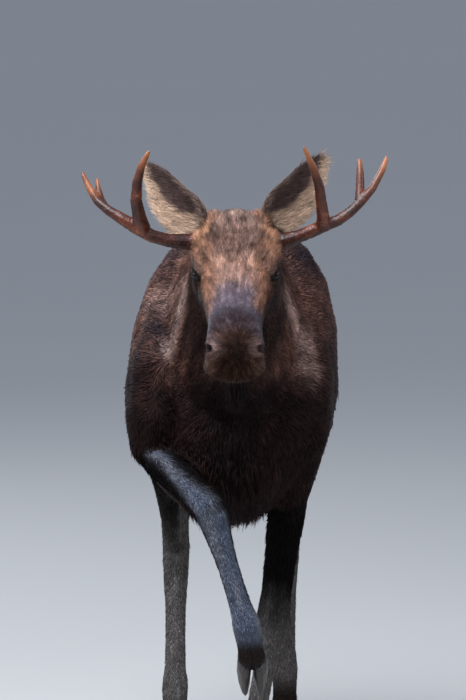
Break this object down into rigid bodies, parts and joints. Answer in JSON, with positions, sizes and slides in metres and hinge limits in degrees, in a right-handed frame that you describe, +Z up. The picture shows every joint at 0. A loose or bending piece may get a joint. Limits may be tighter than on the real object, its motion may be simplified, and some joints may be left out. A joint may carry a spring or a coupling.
{
  "type": "moose figure",
  "caption": "Life-size young bull moose, walking with one foreleg lifted, with small forked antlers, for standing on a floor.",
  "frame": {"origin": "on the floor under the middle of the animal's bounding box", "axes": "+Z up; the animal faces -Y, so its tail is toward +Y and its left side is toward +X"},
  "size_m": [0.8964, 2.6932, 2.0996],
  "materials": {
    "coat": "short dark brown coat, matt",
    "face": "short tan and grey face hair, matt",
    "ear": "cream hair inside, grey-brown behind",
    "leg": "short pale grey leg hair",
    "antler": "hard bone, dark red-brown with paler tips, satin",
    "hoof": "dark horn, satin",
    "eye": "wet, dark brown"
  },
  "bodies": {
    "root": {"bell": "coat", "head": "face", "left_antler_beam": "antler", "left_antler_brow_tine": "antler", "left_antler_rear_tine": "antler", "left_ear": "ear", "left_eye": "eye", "left_foreleg": "leg", "left_foreleg_left_claw": "hoof", "left_foreleg_left_dewclaw": "hoof", "left_foreleg_right_claw": "hoof", "left_foreleg_right_dewclaw": "hoof", "left_hind_leg": "coat", "left_hind_leg_left_claw": "hoof", "left_hind_leg_left_dewclaw": "hoof", "left_hind_leg_right_claw": "hoof", "left_hind_leg_right_dewclaw": "hoof", "neck": "coat", "right_antler_beam": "antler", "right_antler_brow_tine": "antler", "right_antler_rear_tine": "antler", "right_ear": "ear", "right_eye": "eye", "right_foreleg": "leg", "right_foreleg_left_claw": "hoof", "right_foreleg_left_dewclaw": "hoof", "right_foreleg_right_claw": "hoof", "right_foreleg_right_dewclaw": "hoof", "right_hind_leg": "coat", "right_hind_leg_left_claw": "hoof", "right_hind_leg_left_dewclaw": "hoof", "right_hind_leg_right_claw": "hoof", "right_hind_leg_right_dewclaw": "hoof", "tail": "coat", "trunk": "coat"}
  },
  "joints": []
}
